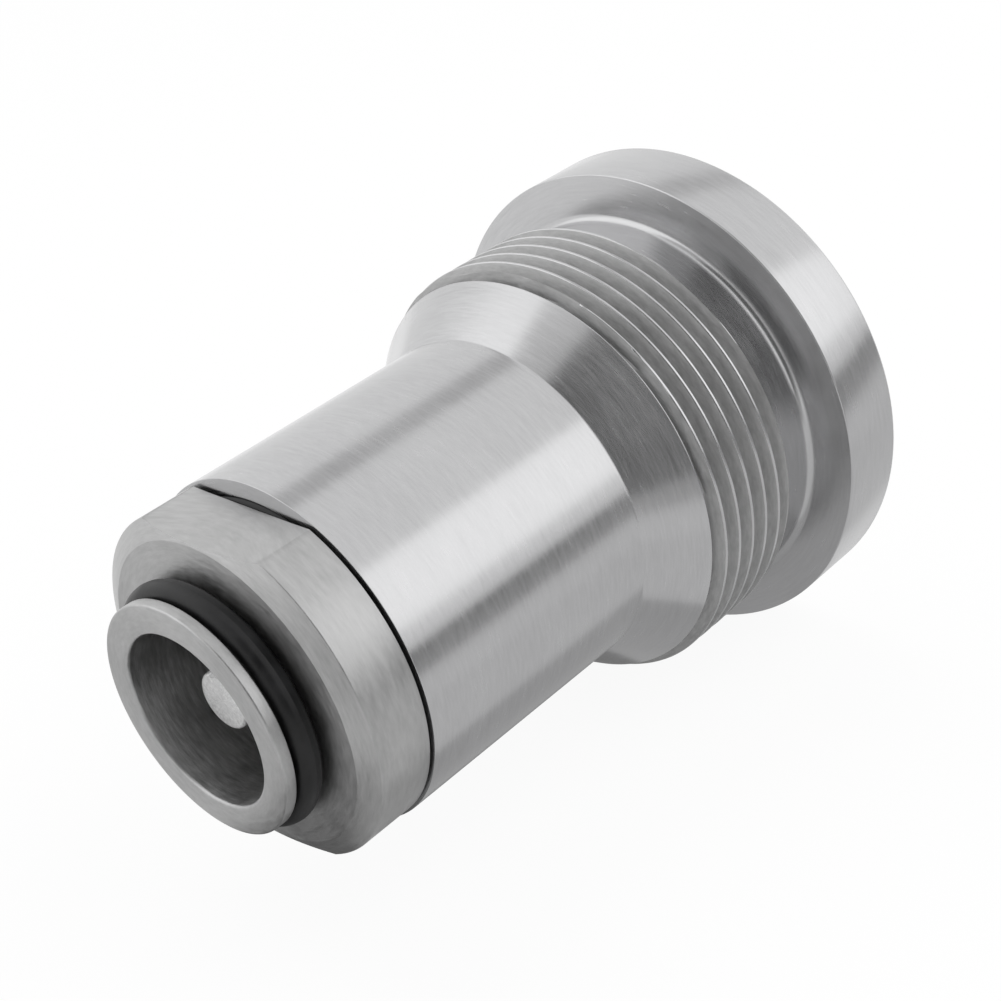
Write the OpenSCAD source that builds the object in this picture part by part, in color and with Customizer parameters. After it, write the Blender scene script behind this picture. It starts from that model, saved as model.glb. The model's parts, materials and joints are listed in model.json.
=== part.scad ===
// Screw-in hydraulic quick coupler, the half with the mouth, with a floating socket.
// The axis of the coupler lies along X, with the nose at -X and the mouth at +X.
// Each piece is turned about Z and then laid along X, so a height in a profile is a place
// on the axis. Height 0 is the rear face of the wrench collar, and heights grow to the mouth.

/* [Nose] */
// Diameter of the rim at the tip of the nose
rim_d = 21.7; // [21:0.1:22.5]
// Width of that rim along the axis
rim_w = 1.1; // [0.8:0.1:2]
// Bore that the oil flows through
nose_bore_d = 16.2; // [13:0.1:16.4]
// Chamfer at the mouth of that bore
nose_chamfer = 0.3; // [0.2:0.1:0.8]
// Thickness of the sealing ring on the nose
nose_ring_w = 2.4; // [1.8:0.1:2.6]
// Diameter at the bottom of the ring's groove
nose_groove_d = 18.3; // [17.9:0.1:18.9]
// Width of the ring's groove
nose_groove_w = 3.1; // [2.9:0.1:3.6]

/* [Wrench collar] */
// Diameter of the collar
collar_d = 32.5; // [31:0.1:33]
// Length of the collar
collar_w = 6.3; // [5:0.1:9]
// Diameter of the flat end face inside the chamfer
collar_face_d = 28.7; // [27:0.1:29]
// Length of the chamfer along the axis
collar_chamfer_w = 0.9; // [0.5:0.1:1.5]
// Distance across the two wrench flats
flats_w = 29; // [28:0.5:30]
// Gap between the collar and the body
collar_gap = 0.4; // [0.2:0.1:0.8]

/* [Spigot that screws into the body] */
// Wall of the body round the spigot
spigot_cover = 2.5; // [2.3:0.1:2.7]
// Length of the spigot from the collar
spigot_l = 9; // [8:0.1:11]
// Depth of the relief under the sealing ring
spigot_relief = 0.9; // [0.6:0.1:1.3]
// Wall of the spigot, round the valve guide and the rear spring
spigot_wall = 2.5; // [2.3:0.1:2.7]
// Lip of the body round the sealing ring between collar and body
joint_lip = 1.3; // [1.1:0.1:1.6]
// Thickness of that ring along the axis
joint_ring_w = 2; // [1.6:0.1:2.4]

/* [Body] */
// Diameter of the plain body
body_d = 33; // [32.6:0.1:36]
// Length from the collar to the foot of the cone
body_l = 27.2; // [26:0.1:31]
// Length of the cone
cone_l = 4.9; // [4.6:0.1:6]
// Diameter at the top of the cone
cone_d = 40.5; // [39.6:0.1:41]
// Radius of the hollow fillet at the foot of the cone
cone_fillet = 0.9; // [0.5:0.1:1.4]

/* [Mounting thread and flange] */
// Major diameter of the mounting thread
thread_d = 42; // [41.6:0.1:45]
// Pitch of the mounting thread
thread_pitch = 2; // [1.5:0.5:2]
// Length from the cone to the end of the thread
thread_l = 11.9; // [10:0.1:13]
// Length of the relief between the thread and the flange
relief_l = 4.3; // [3.5:0.1:5.5]
// Diameter of the relief
relief_d = 38.9; // [38.4:0.1:39.4]
// Radius of the fillet from the relief to the flange
neck_fillet = 0.8; // [0.4:0.1:1.2]
// Diameter of the flange
flange_d = 48.2; // [46:0.1:56]
// Thickness of the flange
flange_w = 7.3; // [7:0.1:9]
// Chamfer on the edges of the flange
flange_edge = 0.4; // [0.2:0.1:0.8]

/* [Socket] */
// Bore that guides the plug's thick land
guide_bore_d = 23.9; // [23.4:0.1:24.1]
// Bore that the plug's nose seals in
plug_seal_d = 20.7; // [20.2:0.1:20.9]
// Width of the valve seat, from the tail's bore to the throat
seat_w = 2; // [1.7:0.1:2.4]
// Wall of the socket's tail
tail_wall = 2.25; // [2.05:0.05:2.45]
// Bore of the body that the socket's tail slides in
tail_slide_d = 25; // [24.6:0.1:25.4]
// Wall of the ball cage, round the guide bore
cage_wall = 2; // [1.8:0.05:2.1]
// How far the plug pushes the socket in
push_travel = 4; // [3:0.1:4.5]

/* [Lock] */
// Number of locking balls
ball_count = 8; // [8:1:8]
// Diameter of a locking ball
ball_d = 4.76; // [4.4:0.02:4.9]
// How far the locked balls stand into the guide bore
ball_hold = 1.65; // [1.45:0.05:1.95]
// Wall of the lock ring where it is thinnest
lock_wall = 0.72; // [0.62:0.05:1.12]
// Length of the lock ring
lock_ring_l = 12.4; // [12:0.1:13]
// Length of the land that holds the balls in
land_l = 1.2; // [0.8:0.1:1.8]

/* [Valve] */
// How far the poppet opens
poppet_travel = 6; // [4:0.1:6.5]
// Gap round the poppet's head, which the oil flows through
flow_gap = 1.3; // [1.1:0.1:1.6]
// Diameter of the poppet's stem
stem_d = 3; // [2.6:0.1:3.4]
// Diameter of the guide's hub, which shows in the nose
hub_d = 5.4; // [5:0.1:6.4]
// Depth of the hub's tip inside the nose
hub_depth = 3.1; // [2:0.1:5]
// Thickness of each web that carries the hub
web_w = 2; // [1.4:0.1:2.6]

/* [Springs] */
// Wire of the rear spring
rear_wire = 1.5; // [1.2:0.1:1.5]
// Turns of the rear spring
rear_turns = 4.5; // [3.5:0.5:4.5]
// Wire of the poppet spring
poppet_wire = 1.1; // [0.9:0.1:1.2]
// Turns of the poppet spring
poppet_turns = 6.5; // [5.5:0.5:7.5]
// Turns of the wave spring behind the front ring
wave_turns = 3; // [2:1:4]
// Thickness of the wave spring's flat wire
wave_t = 0.45; // [0.3:0.05:0.5]

/* [Rings at the mouth] */
// Thickness of the front ring
front_ring_w = 2.2; // [1.8:0.1:2.4]
// Thickness of the circlip
circlip_t = 1.2; // [1:0.1:1.4]
// Depth of the circlip's groove
circlip_depth = 1; // [0.7:0.1:1.2]
// Thickness of the washer under the wave spring
washer_t = 1; // [0.8:0.1:1.2]

/* [Hidden] */

$fn = 96;
wire_sides = 10;
turn_steps = 24;
arc_steps = 6;

// Clearances
face_gap = 0.03;    // between faces that seat on each other
slide_gap = 0.05;   // radial gap of a sliding fit
loose_gap = 0.2;    // gap where nothing has to seal or guide
stop_gap = 0.4;     // space left when a moving piece is at its stop
edge = 0.4;         // small chamfer on turned edges
fine_edge = 0.2;    // chamfer on thin flanges and rims
hair_edge = 0.1;    // chamfer on washers and backup rings
past = 1;           // how far a cut runs past the solid that it cuts

// Small sizes of the body and the adapter
thread_runout = 0.3;
ring_corner = 0.6;
chamber_step = 0.1;
mouth_lip_w = 0.9;

// Small sizes of the socket and its rings
socket_recess = 3.4;
socket_lead = 1.1;
dirt_groove_w = 0.8;
dirt_groove_depth = 0.35;
dirt_groove_inset = 0.5;
lead_margin = 3;
seal_margin = 1.9;
seal_corner = 0.7;
seal_squeeze = 0.1;
plug_groove_over = 0.15;
groove_wall = 0.6;
nose_room = 2.3;
throat_w = 1.4;
tail_groove_inset = 1.8;
tail_groove_depth = 2;
washer_reach = 0.4;
wiper_inset = 1.4;
wiper_depth = 1;
wiper_corner = 0.3;
snap_groove_depth = 0.6;
snap_proud = 0.35;
wire_edge = 0.15;

// Small sizes of the valve
seal_lap = 2.2;
cap_gap = 0.35;
cap_edge = 0.6;
dome_r = 2;
stud_gap = 0.5;
stem_edge = 0.3;
head_collar_w = 1;
head_bevel = 2.2;
boss_w = 1;
web_root = 1;
window_over = 0.4;

// Small sizes of the springs and the rings at the mouth
coil_room = 0.25;
wave_inner_gap = 0.5;
wave_outer_gap = 0.4;
front_ring_lead = 1.2;
recess_lip = 0.1;
circlip_band = 1.5;
eye_r = 1.35;
eye_hole_r = 0.65;
eye_inset = 0.3;

// Colours, as the photograph shows them
turned_steel = [0.60, 0.60, 0.60];
dull_steel = [0.52, 0.52, 0.53];
ground_steel = [0.72, 0.72, 0.72];
spring_steel = [0.45, 0.45, 0.46];
black_rubber = [0.07, 0.07, 0.07];
white_ptfe = [0.88, 0.87, 0.83];

// Radii of the outside
rim_r = rim_d / 2;
nose_bore_r = nose_bore_d / 2;
nose_groove_r = nose_groove_d / 2;
collar_r = collar_d / 2;
body_r = body_d / 2;
cone_r = cone_d / 2;
thread_r = thread_d / 2;
relief_r = relief_d / 2;
flange_r = flange_d / 2;
thread_depth = 0.6 * thread_pitch;

// Places of the outside along the axis
nose_z = -(collar_w + nose_groove_w + rim_w);
cone_top_z = body_l + cone_l;
thread_end_z = cone_top_z + thread_l;
seat_z = thread_end_z + relief_l;
mouth_z = seat_z + flange_w;
middle_z = (nose_z + mouth_z) / 2;

// Radii inside
spigot_r = body_r - spigot_cover;
spigot_bore_r = spigot_r - spigot_wall;
joint_ring_r = body_r - joint_lip;
spigot_relief_r = spigot_r - spigot_relief;
tail_slide_r = tail_slide_d / 2;
tail_r = tail_slide_r - slide_gap;
guide_r = guide_bore_d / 2;
cage_r = guide_r + cage_wall;
cage_slide_r = cage_r + slide_gap;
plug_seal_r = plug_seal_d / 2;
tail_bore_r = tail_r - tail_wall;
throat_r = tail_bore_r - seat_w;

// The balls and the cone that lets them out
ball_r = ball_d / 2;
ball_rest_r = guide_r - ball_hold + ball_r;
ball_out_r = guide_r + ball_r + slide_gap;
ball_travel = ball_out_r - ball_rest_r;
ball_slope = ball_travel / push_travel;
land_r = ball_rest_r + ball_r + face_gap;
lock_recess_r = ball_out_r + ball_r + 3 * face_gap;
lock_outer_r = lock_recess_r + lock_wall;
chamber_r = lock_outer_r + face_gap;
ball_hole_r = ball_r + slide_gap;
ball_seat_h = ball_rest_r - guide_r;
ball_seat_r = sqrt(ball_r * ball_r - ball_seat_h * ball_seat_h);
ball_seat_slope = ball_seat_h / ball_seat_r;

// Places inside along the axis, from the cone of the body to the mouth
chamber_z = cone_top_z - chamber_step;
ball_z = chamber_z + 0.65 * lock_ring_l;
lock_z0 = chamber_z + face_gap;
lock_z1 = chamber_z + lock_ring_l;
washer_z = lock_z1 + 2 * face_gap;
wave_z0 = washer_z + washer_t + face_gap;
circlip_w = circlip_t + 2 * face_gap;
circlip_z = mouth_z - mouth_lip_w - circlip_w;
front_ring_z1 = circlip_z;
front_ring_z0 = front_ring_z1 - front_ring_w;
wave_z1 = front_ring_z0 - face_gap;
socket_front_z = mouth_z - socket_recess;

// Places in the socket, counted back from the balls
lead_z1 = ball_z - ball_r - lead_margin;
lead_z0 = lead_z1 - (guide_r - plug_seal_r);
dirt_groove_z = ball_z + ball_r + dirt_groove_inset;
plug_groove_w = 3.2;
plug_groove_z = lead_z0 - seal_margin - plug_groove_w;
plug_groove_r = guide_r + plug_groove_over;
socket_step_z = plug_groove_z - groove_wall;
throat_z1 = plug_groove_z - nose_room;
throat_z0 = throat_z1 - throat_w;
seat_cone_z = throat_z0 - (tail_bore_r - throat_r);
rear_washer_t = 0.8;
tail_z = spigot_l + stop_gap + push_travel + rear_washer_t + 2 * face_gap;
cage_step_z = socket_step_z - push_travel - loose_gap;
tail_groove_z = tail_z + tail_groove_inset;
tail_ring_w = 2;
backup_w = 1.2;
tail_groove_w = tail_ring_w + backup_w + 3 * face_gap;
tail_groove_r = tail_slide_r + tail_groove_depth;
tail_stop_z = spigot_l + loose_gap;

// The wiper and the snap ring on the socket
wiper_w = 1.4;
wiper_z = socket_front_z - wiper_inset - wiper_w;
wiper_r = guide_r + wiper_depth;
snap_w = 0.9;
snap_z = lock_z1 - snap_w - face_gap;
snap_groove_r = cage_r - snap_groove_depth;
snap_outer_r = (cage_r + land_r) / 2 + snap_proud;

// The valve
head_r = tail_bore_r - flow_gap;
stem_r = stem_d / 2;
hub_r = hub_d / 2;
head_edge_z = seat_cone_z + (tail_bore_r - head_r) - 2 * face_gap;
head_rim_w = 1.6;
head_back_w = 1.2;
head_back_z = head_edge_z - head_rim_w - head_back_w;
seal_w = 0.95;
seal_inner_r = throat_r - seal_lap;
cap_w = 2.6;
cap_r = throat_r - cap_gap;
stud_r = 2;
stud_l = 3;
full_travel = push_travel + poppet_travel;
hub_tip_z = nose_z + hub_depth;
hub_end_w = 1.3;
hub_bore_z = hub_tip_z + hub_end_w;
hub_mouth_z = head_back_z - head_collar_w - full_travel - stop_gap;
stem_end_z = hub_bore_z + full_travel + stop_gap;
guide_flange_w = 1.4;
guide_flange_r = spigot_bore_r - slide_gap;
guide_window_r = nose_bore_r + window_over;
web_z0 = -1;
web_z1 = 3;
boss_r = 4.3;

// Springs and the washer on the socket's tail
rear_spring_r = min(spigot_bore_r, tail_slide_r) - loose_gap - rear_wire / 2;
rear_washer_r = min(tail_bore_r - washer_reach, rear_spring_r - rear_wire / 2);
poppet_spring_r = boss_r + coil_room + poppet_wire / 2;
wave_inner_r = cage_r + wave_inner_gap;
wave_outer_r = chamber_r - wave_outer_gap;
wave_crests = 3.5;

// Places along X, for a piece turned about Z
module along_axis() {
    translate([-middle_z, 0, 0]) rotate([0, 90, 0]) children();
}

module turned(profile) {
    along_axis() rotate_extrude() polygon(profile);
}

// Points of an arc with its centre at (r, z), from angle a0 to a1
function arc(r, z, radius, a0, a1) =
    [for (i = [0:arc_steps])
        let (a = a0 + (a1 - a0) * i / arc_steps)
        [r + radius * cos(a), z + radius * sin(a)]];

// Profile of a squeezed sealing ring between two radii, with round corners
function ring_profile(r0, r1, z0, z1, corner) = concat(
    arc(r0 + corner, z0 + corner, corner, 180, 270),
    arc(r1 - corner, z0 + corner, corner, 270, 360),
    arc(r1 - corner, z1 - corner, corner, 0, 90),
    arc(r0 + corner, z1 - corner, corner, 90, 180));

// Profile of a plain ring with small chamfers
function washer_profile(r0, r1, z0, z1, c) = [
    [r0 + c, z0], [r1 - c, z0], [r1, z0 + c], [r1, z1 - c],
    [r1 - c, z1], [r0 + c, z1], [r0, z1 - c], [r0, z0 + c]];

// The body: plain barrel, cone, thread, relief and flange outside, stepped bore inside
module body() {
    cone_angle = atan2(cone_r - body_r, cone_l);
    fillet_l = cone_fillet * tan(cone_angle / 2);
    color(turned_steel)
    turned(concat([
        [joint_ring_r, collar_gap],
        [body_r - edge, collar_gap],
        [body_r, collar_gap + edge]],
        arc(body_r + cone_fillet, body_l - fillet_l, cone_fillet, 180, 180 - cone_angle), [
        [cone_r, cone_top_z],
        [thread_r, cone_top_z + (thread_r - cone_r)],
        [thread_r, thread_end_z - thread_depth],
        [thread_r - thread_depth, thread_end_z],
        [relief_r, thread_end_z + thread_runout]],
        arc(relief_r + neck_fillet, seat_z - neck_fillet, neck_fillet, 180, 90), [
        [flange_r - flange_edge, seat_z],
        [flange_r, seat_z + flange_edge],
        [flange_r, mouth_z - flange_edge],
        [flange_r - flange_edge, mouth_z],
        [chamber_r + edge, mouth_z],
        [chamber_r, mouth_z - edge],
        [chamber_r, circlip_z + circlip_w],
        [chamber_r + circlip_depth, circlip_z + circlip_w],
        [chamber_r + circlip_depth, circlip_z],
        [chamber_r, circlip_z],
        [chamber_r, chamber_z],
        [cage_slide_r + edge, chamber_z],
        [cage_slide_r, chamber_z - edge],
        [cage_slide_r, cage_step_z],
        [tail_slide_r + edge, cage_step_z],
        [tail_slide_r, cage_step_z - edge],
        [tail_slide_r, tail_groove_z + tail_groove_w],
        [tail_groove_r, tail_groove_z + tail_groove_w],
        [tail_groove_r, tail_groove_z],
        [tail_slide_r, tail_groove_z],
        [tail_slide_r, tail_stop_z],
        [spigot_r + face_gap, tail_stop_z],
        [spigot_r + face_gap, collar_gap + joint_ring_w],
        [joint_ring_r, collar_gap + joint_ring_w]]));
}

// The end adapter: nose with its groove, wrench collar with two flats, hollow spigot
module end_adapter() {
    color(dull_steel)
    difference() {
        turned([
            [nose_bore_r + nose_chamfer, nose_z],
            [rim_r - fine_edge, nose_z],
            [rim_r, nose_z + fine_edge],
            [rim_r, nose_z + rim_w],
            [nose_groove_r, nose_z + rim_w],
            [nose_groove_r, -collar_w],
            [collar_face_d / 2, -collar_w],
            [collar_r, -collar_w + collar_chamfer_w],
            [collar_r, -edge / 2],
            [collar_r - edge / 2, 0],
            [spigot_relief_r, 0],
            [spigot_relief_r, collar_gap + joint_ring_w],
            [spigot_r - edge, collar_gap + joint_ring_w],
            [spigot_r, collar_gap + joint_ring_w + edge],
            [spigot_r, spigot_l - edge],
            [spigot_r - edge, spigot_l],
            [spigot_bore_r + edge, spigot_l],
            [spigot_bore_r, spigot_l - edge],
            [spigot_bore_r, 0],
            [nose_bore_r, 0],
            [nose_bore_r, nose_z + nose_chamfer]]);
        for (side = [-1, 1])
            translate([-middle_z - collar_w, -collar_r,
                       side < 0 ? -collar_r - past : flats_w / 2])
                cube([collar_w, collar_d, collar_r + past - flats_w / 2]);
    }
}

// The round sealing ring on the nose, which stands proud of the rim
module nose_o_ring() {
    color(black_rubber)
    along_axis()
        rotate_extrude()
            translate([nose_groove_r + face_gap + nose_ring_w / 2, -collar_w - nose_groove_w / 2])
                circle(d = nose_ring_w);
}

// The squeezed ring under the collar, which shows as the dark line in the gap
module joint_o_ring() {
    color(black_rubber)
    turned(ring_profile(spigot_relief_r + face_gap, joint_ring_r - face_gap,
                        face_gap, collar_gap + joint_ring_w - face_gap, ring_corner));
}

// The valve guide: a flange on the adapter's shoulder, three webs and a blunt hub
module valve_guide() {
    web_outer_r = nose_bore_r - loose_gap;
    color(ground_steel)
    difference() {
        union() {
            turned([
                [guide_window_r, face_gap],
                [guide_flange_r - fine_edge, face_gap],
                [guide_flange_r, face_gap + fine_edge],
                [guide_flange_r, guide_flange_w],
                [guide_window_r, guide_flange_w]]);
            turned([
                [0, hub_tip_z],
                [hub_r - edge, hub_tip_z],
                [hub_r, hub_tip_z + edge],
                [hub_r, web_z1],
                [boss_r, web_z1],
                [boss_r, web_z1 + boss_w],
                [boss_r - edge, web_z1 + boss_w + edge],
                [hub_r, web_z1 + boss_w + edge],
                [hub_r, hub_mouth_z - edge],
                [hub_r - edge, hub_mouth_z],
                [0, hub_mouth_z]]);
            for (k = [0:2]) along_axis() rotate([0, 0, 60 + 120 * k]) {
                translate([hub_r - web_root, -web_w / 2, web_z0])
                    cube([web_outer_r - hub_r + web_root, web_w, web_z1 - web_z0]);
                translate([hub_r - web_root, -web_w / 2, face_gap])
                    cube([guide_window_r - hub_r + 2 * web_root, web_w,
                          guide_flange_w - face_gap]);
            }
        }
        along_axis() translate([0, 0, hub_bore_z])
            cylinder(r = stem_r + slide_gap, h = hub_mouth_z - hub_bore_z + past);
    }
}

// A round wire wound into a coil spring whose first and last turn lie closed
function coil_z(turn, turns, wire, z0, z1) =
    let (closed = 1, pitch = (z1 - z0 - 3 * wire) / (turns - 2 * closed))
    turn < closed ? z0 + wire / 2 + wire * turn
    : turn > turns - closed ? z1 - wire / 2 - wire * (turns - turn)
    : z0 + 1.5 * wire + pitch * (turn - closed);

function sweep_faces(rings, sides) = concat(
    [for (i = [0:rings - 2], j = [0:sides - 1])
        let (a = i * sides + j, b = i * sides + (j + 1) % sides)
        [a, b, b + sides, a + sides]],
    [[for (j = [sides - 1:-1:0]) j]],
    [[for (j = [0:sides - 1]) (rings - 1) * sides + j]]);

module coil_spring(mean_r, wire, turns, z0, z1) {
    rings = floor(turns * turn_steps) + 1;
    points = [for (i = [0:rings - 1], j = [0:wire_sides - 1])
        let (turn = i / turn_steps,
             angle = 360 * turn,
             side = 360 * j / wire_sides,
             r = mean_r + wire / 2 * cos(side),
             z = coil_z(turn, turns, wire, z0, z1) + wire / 2 * sin(side))
        [r * cos(angle), r * sin(angle), z]];
    along_axis() polyhedron(points, sweep_faces(rings, wire_sides), convexity = 10);
}

// The rear spring holds the socket out against the plug's push
module rear_spring() {
    color(spring_steel)
    coil_spring(rear_spring_r, rear_wire, rear_turns,
                guide_flange_w + face_gap, tail_z - rear_washer_t - 2 * face_gap);
}

module rear_washer() {
    color(ground_steel)
    turned(washer_profile(rear_washer_r, tail_r - loose_gap,
                          tail_z - rear_washer_t - face_gap, tail_z - face_gap, hair_edge));
}

// The socket: tail and valve seat, seal bore, guide bore and ball cage in one turned piece.
// A shallow groove in front of the balls takes the dirt that a plug pushes in.
module socket() {
    color(ground_steel)
    difference() {
        turned([
            [tail_bore_r + edge, tail_z],
            [tail_r - edge, tail_z],
            [tail_r, tail_z + edge],
            [tail_r, socket_step_z],
            [cage_r - edge, socket_step_z],
            [cage_r, socket_step_z + edge],
            [cage_r, snap_z - face_gap],
            [snap_groove_r, snap_z - face_gap],
            [snap_groove_r, snap_z + snap_w + face_gap],
            [cage_r, snap_z + snap_w + face_gap],
            [cage_r, socket_front_z - edge],
            [cage_r - edge, socket_front_z],
            [guide_r + socket_lead, socket_front_z],
            [guide_r, socket_front_z - socket_lead],
            [guide_r, wiper_z + wiper_w],
            [wiper_r, wiper_z + wiper_w],
            [wiper_r, wiper_z],
            [guide_r, wiper_z],
            [guide_r, dirt_groove_z + dirt_groove_w],
            [guide_r + dirt_groove_depth, dirt_groove_z + dirt_groove_w],
            [guide_r + dirt_groove_depth, dirt_groove_z],
            [guide_r, dirt_groove_z],
            [guide_r, lead_z1],
            [plug_seal_r, lead_z0],
            [plug_seal_r, plug_groove_z + plug_groove_w],
            [plug_groove_r, plug_groove_z + plug_groove_w],
            [plug_groove_r, plug_groove_z],
            [plug_seal_r, plug_groove_z],
            [plug_seal_r, throat_z1],
            [throat_r, throat_z1],
            [throat_r, throat_z0],
            [tail_bore_r, seat_cone_z],
            [tail_bore_r, tail_z + edge]]);
        for (k = [1:ball_count]) ball_place(k, guide_r) ball_hole();
    }
}

// A ball's hole in the cage: a cone that the ball seats on, so that it can't fall in
module ball_hole() {
    inner_r = ball_seat_r + face_gap / 2;
    cone_h = (ball_hole_r - inner_r) / ball_seat_slope;
    translate([0, 0, -past])
        cylinder(r1 = inner_r - past * ball_seat_slope, r2 = ball_hole_r, h = cone_h + past);
    translate([0, 0, cone_h]) cylinder(r = ball_hole_r, h = cage_r);
}

// Puts a hole or a ball, drawn along Z, on the radius of ball number k
module ball_place(k, radius) {
    along_axis()
        rotate([0, 0, 360 / ball_count * (k - 0.5)])
            translate([radius, 0, ball_z])
                rotate([0, 90, 0]) children();
}

// The tail's sealing ring and its backup lie in the body and seal on the socket
module socket_o_ring() {
    color(black_rubber)
    turned(ring_profile(tail_r + face_gap, tail_groove_r - face_gap,
                        tail_groove_z + face_gap, tail_groove_z + face_gap + tail_ring_w,
                        seal_corner));
}

module socket_backup_ring() {
    z = tail_groove_z + tail_ring_w + 2 * face_gap;
    color(white_ptfe)
    turned(washer_profile(tail_r + face_gap, tail_groove_r - face_gap, z, z + backup_w,
                          hair_edge));
}

// The seal round the plug's nose and its backup
module plug_seal() {
    color(black_rubber)
    turned(ring_profile(plug_seal_r - seal_squeeze, plug_groove_r - face_gap,
                        plug_groove_z + face_gap + backup_w + face_gap,
                        plug_groove_z + plug_groove_w - face_gap, seal_corner));
}

module plug_backup_ring() {
    color(white_ptfe)
    turned(washer_profile(plug_seal_r + face_gap, plug_groove_r - face_gap,
                          plug_groove_z + face_gap, plug_groove_z + face_gap + backup_w,
                          hair_edge));
}

// The wiper keeps dirt off the balls
module dust_wiper() {
    color(black_rubber)
    turned(ring_profile(guide_r + face_gap, wiper_r - face_gap,
                        wiper_z + face_gap, wiper_z + wiper_w - face_gap, wiper_corner));
}

// The poppet: stem, back plate for the spring and head with a spigot for the seal
module poppet() {
    color(ground_steel)
    difference() {
        turned([
            [0, stem_end_z],
            [stem_r - stem_edge, stem_end_z],
            [stem_r, stem_end_z + stem_edge],
            [stem_r, head_back_z - head_collar_w],
            [boss_r - head_collar_w, head_back_z - head_collar_w],
            [boss_r - fine_edge, head_back_z],
            [head_r - head_bevel, head_back_z],
            [head_r, head_edge_z - head_rim_w],
            [head_r, head_edge_z],
            [seal_inner_r - face_gap, head_edge_z],
            [seal_inner_r - face_gap, head_edge_z + seal_w - face_gap],
            [0, head_edge_z + seal_w - face_gap]]);
        along_axis() translate([0, 0, head_edge_z + seal_w - stud_l])
            cylinder(r = stud_r + face_gap, h = stud_l + past);
    }
}

// The valve seal, clamped between head and cap, with its cone on the socket's seat
module poppet_seal() {
    z0 = head_edge_z + face_gap;
    z1 = head_edge_z + seal_w;
    seat_r0 = tail_bore_r - (z0 - seat_cone_z) - face_gap;
    seat_r1 = tail_bore_r - (z1 - seat_cone_z) - face_gap;
    color(black_rubber)
    turned([
        [seal_inner_r, z0],
        [seat_r0 - face_gap, z0],
        [seat_r1 - face_gap, z1],
        [seal_inner_r, z1]]);
}

// The cap that screws into the head, with the round nose that meets the plug's valve
module poppet_cap() {
    z0 = head_edge_z + seal_w + face_gap;
    color(ground_steel)
    turned(concat([
        [0, z0 - stud_l + stud_gap],
        [stud_r, z0 - stud_l + stud_gap],
        [stud_r, z0],
        [cap_r - cap_edge, z0],
        [cap_r, z0 + cap_edge]],
        arc(cap_r - dome_r, z0 + cap_w - dome_r, dome_r, 0, 90),
        [[0, z0 + cap_w]]));
}

module poppet_spring() {
    color(spring_steel)
    coil_spring(poppet_spring_r, poppet_wire, poppet_turns,
                web_z1 + face_gap, head_back_z - face_gap);
}

// The lock ring: a narrow land holds the balls in, and a cone each side lets them out
module lock_ring() {
    rise = lock_recess_r - land_r;
    ramp = ball_rest_r + ball_r * sqrt(1 + ball_slope * ball_slope) + face_gap;
    land_z0 = ball_z + (ramp - land_r) / ball_slope;
    color(ground_steel)
    turned([
        [lock_recess_r, lock_z0],
        [lock_outer_r - edge, lock_z0],
        [lock_outer_r, lock_z0 + edge],
        [lock_outer_r, lock_z1 - edge],
        [lock_outer_r - edge, lock_z1],
        [lock_recess_r, lock_z1],
        [lock_recess_r, min(land_z0 + land_l + rise, lock_z1 - recess_lip)],
        [land_r, land_z0 + land_l],
        [land_r, land_z0],
        [lock_recess_r, land_z0 - rise / ball_slope]]);
}

// An open wire ring on the cage, which takes the front washer along on a pull
module cage_snap_ring() {
    color(spring_steel)
    along_axis() rotate([0, 0, 10])
        rotate_extrude(angle = 340)
            polygon(washer_profile(snap_groove_r + face_gap, snap_outer_r,
                                   snap_z, snap_z + snap_w, wire_edge));
}

module front_washer() {
    color(ground_steel)
    turned(washer_profile(cage_r + loose_gap, chamber_r - face_gap,
                          washer_z, washer_z + washer_t, wire_edge));
}

// A flat wire wound into waves whose crests meet from turn to turn
module wave_spring() {
    steps = 56;
    rings = wave_turns * steps + 1;
    start = wave_z0 + face_gap + wave_t / 2;
    climb = wave_z1 - wave_z0 - 2 * face_gap - wave_t;
    swing = 0.42 * (climb / wave_turns - wave_t);
    points = [for (i = [0:rings - 1], j = [0:3])
        let (angle = 360 * i / steps,
             wave = swing * sin(wave_crests * angle),
             middle = start + max(0, min(climb, climb * i / (rings - 1) + wave)),
             r = (j == 0 || j == 3) ? wave_inner_r : wave_outer_r,
             z = middle + (j < 2 ? -wave_t / 2 : wave_t / 2))
        [r * cos(angle), r * sin(angle), z]];
    color(spring_steel)
    along_axis() polyhedron(points, sweep_faces(rings, 4), convexity = 10);
}

// The front ring closes the chamber round the socket
module front_ring() {
    color(dull_steel)
    turned([
        [cage_slide_r, front_ring_z0 + edge],
        [cage_slide_r + edge, front_ring_z0],
        [lock_outer_r - edge, front_ring_z0],
        [lock_outer_r, front_ring_z0 + edge],
        [lock_outer_r, front_ring_z1 - face_gap],
        [cage_slide_r + front_ring_lead, front_ring_z1 - face_gap],
        [cage_slide_r, front_ring_z1 - front_ring_lead]]);
}

// The circlip in the mouth, open between its two eyes
module mouth_circlip() {
    inner_r = chamber_r - circlip_band;
    eye_centre_r = inner_r - eye_inset;
    opening = 24;
    eye_angle = opening / 2 + 4;
    outer_r = chamber_r + circlip_depth - face_gap;
    z = circlip_z + face_gap;
    color(spring_steel)
    along_axis() rotate([0, 0, 180]) translate([0, 0, z])
        difference() {
            union() {
                rotate([0, 0, opening / 2])
                    rotate_extrude(angle = 360 - opening)
                        translate([inner_r, 0]) square([outer_r - inner_r, circlip_t]);
                for (side = [-1, 1]) rotate([0, 0, side * eye_angle])
                    translate([eye_centre_r, 0, 0]) cylinder(r = eye_r, h = circlip_t);
            }
            for (side = [-1, 1]) rotate([0, 0, side * eye_angle])
                translate([eye_centre_r, 0, -past])
                    cylinder(r = eye_hole_r, h = circlip_t + 2 * past);
        }
}

module locking_ball(k) {
    color(ground_steel)
    ball_place(k, ball_rest_r) sphere(d = ball_d);
}

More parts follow.
